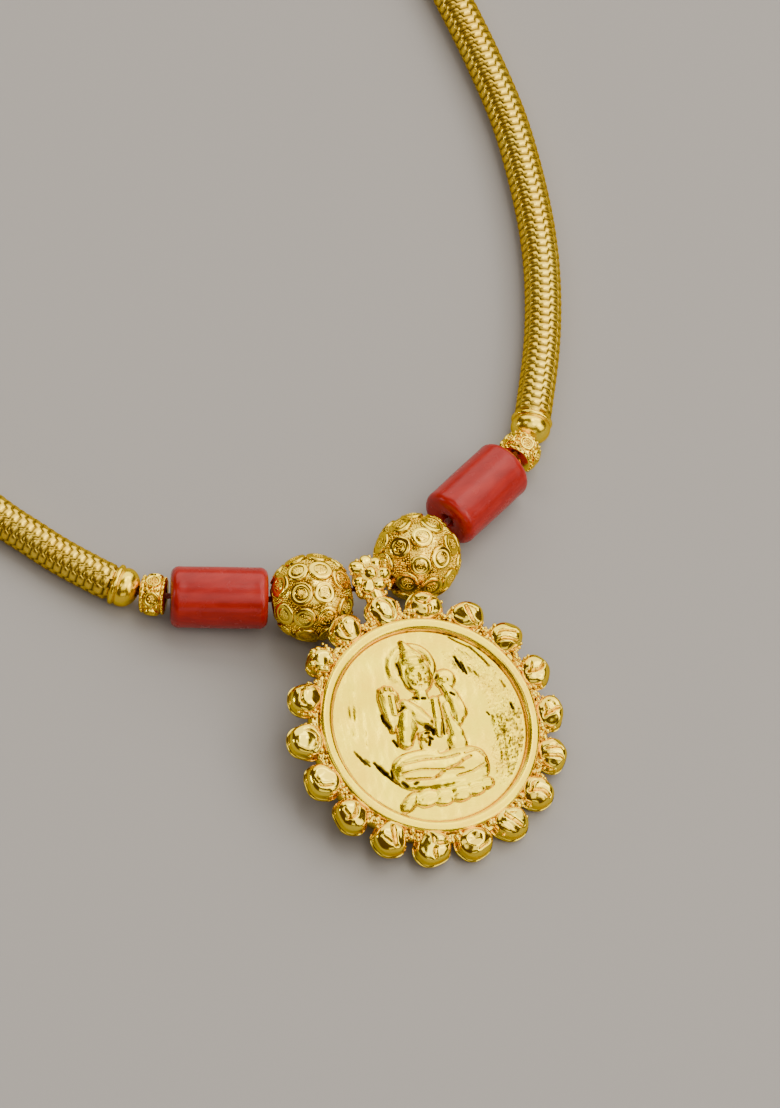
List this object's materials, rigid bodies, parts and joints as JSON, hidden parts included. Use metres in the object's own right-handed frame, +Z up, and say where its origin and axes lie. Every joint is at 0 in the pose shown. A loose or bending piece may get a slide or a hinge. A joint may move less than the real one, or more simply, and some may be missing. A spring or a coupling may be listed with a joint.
{
  "type": "temple necklace with coin pendant",
  "caption": "Gold woven-chain necklace with coral tubes, studded gold balls and a round coin pendant showing a seated figure in relief.",
  "frame": {"origin": "on the surface it lies on, under the middle of the whole necklace", "axes": "+Y from the pendant to the clasp, +Z up from the surface, +X to the right with the pendant towards the viewer"},
  "size_m": [0.0873, 0.2004, 0.0101],
  "materials": {
    "chain_gold": "polished gold plate, closely woven round chain",
    "gold": "polished gold plate with fine granulation, darker in its recesses",
    "pendant_gold": "bright gold plate, cast and lightly pitted, with polished border domes",
    "coral": "polished opaque red coral",
    "thread": "waxed dark red thread"
  },
  "bodies": {
    "root": {"chain_left": "chain_gold", "chain_right": "chain_gold", "back_clasp": "gold", "chain_cap_left": "gold", "chain_cap_right": "gold", "spacer_bead_left": "gold", "spacer_bead_right": "gold", "coral_bead_left": "coral", "coral_bead_right": "coral", "gold_ball_left": "gold", "gold_ball_right": "gold", "stringing_thread": "thread", "coin_pendant": "pendant_gold"}
  },
  "joints": []
}
